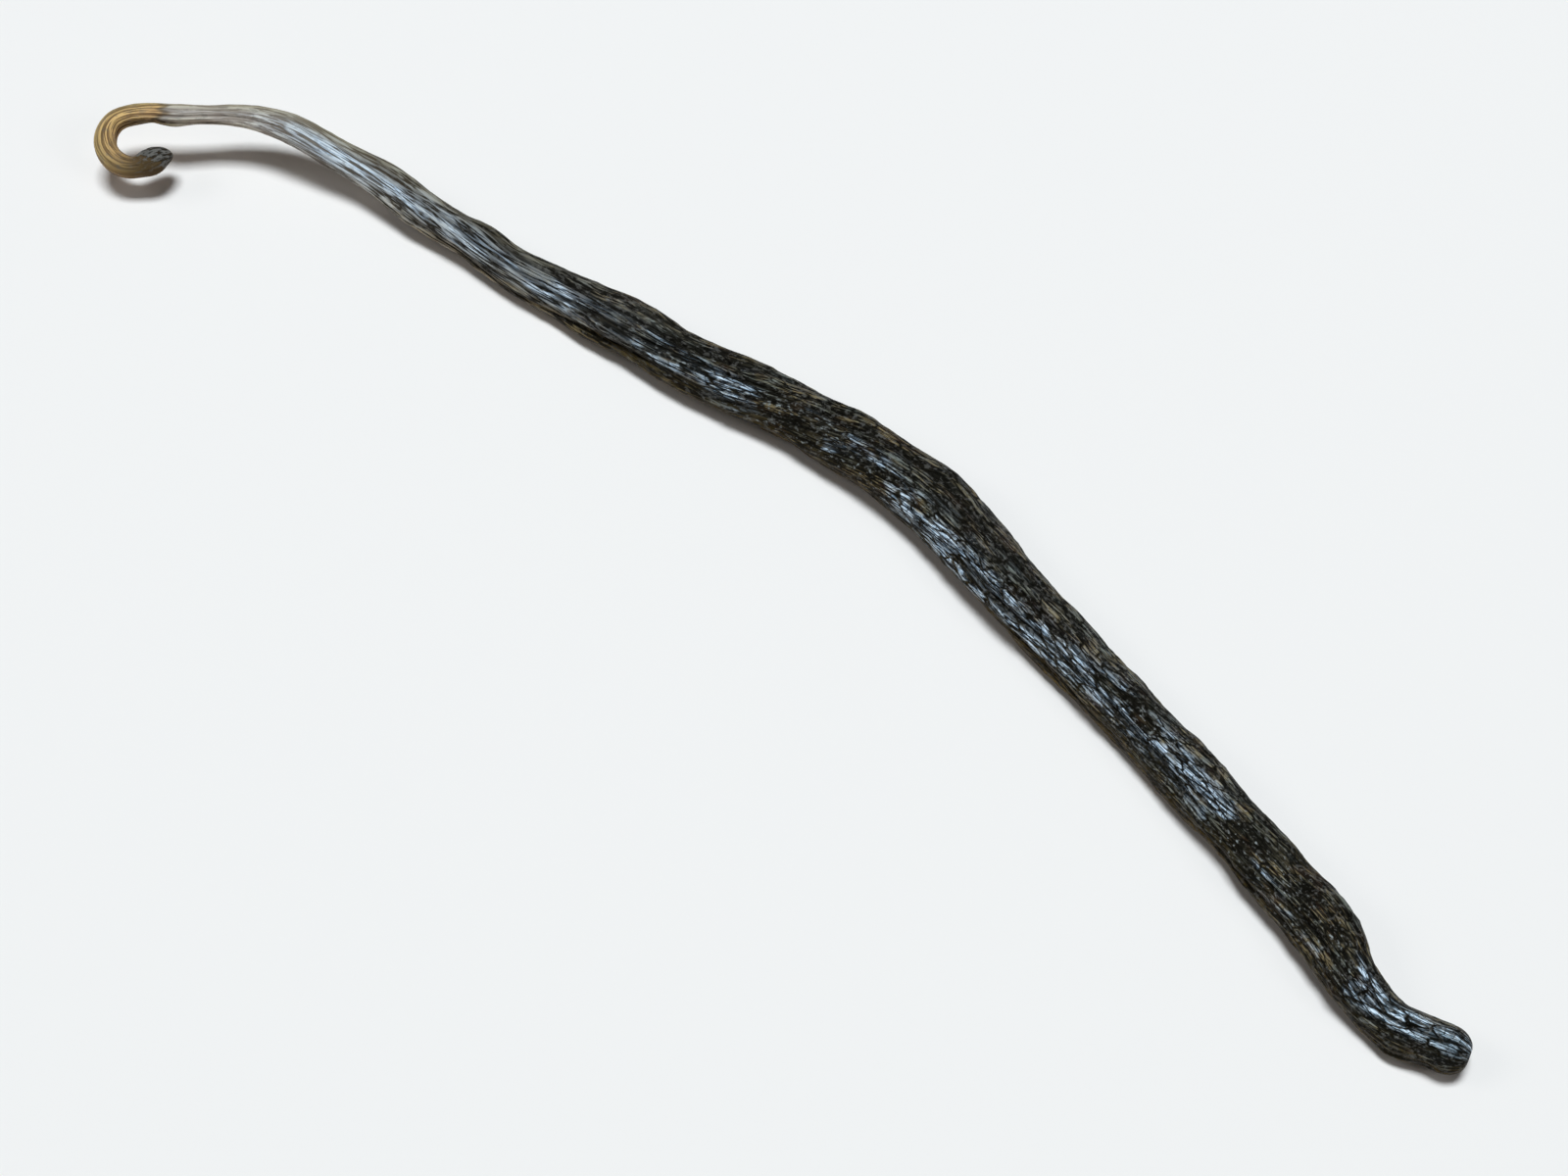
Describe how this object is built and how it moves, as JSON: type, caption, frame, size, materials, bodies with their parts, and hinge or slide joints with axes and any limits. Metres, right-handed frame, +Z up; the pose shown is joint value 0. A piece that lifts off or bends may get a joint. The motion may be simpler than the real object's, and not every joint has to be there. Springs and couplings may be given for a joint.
{
  "type": "vanilla pod",
  "caption": "Long slender cured vanilla pod with lengthwise wrinkles, a curled stem end and a blunt bent blossom end, lying on its side.",
  "frame": {"origin": "centre of the bounding box's base, on the surface that the pod lies on", "axes": "+X along the pod from the curled stem to the blossom end, +Z up, +Y to the outside of the pod's bow"},
  "size_m": [0.1626, 0.0252, 0.0073],
  "materials": {
    "skin": "oily wrinkled skin"
  },
  "bodies": {
    "root": {"pod": "skin"}
  },
  "joints": []
}
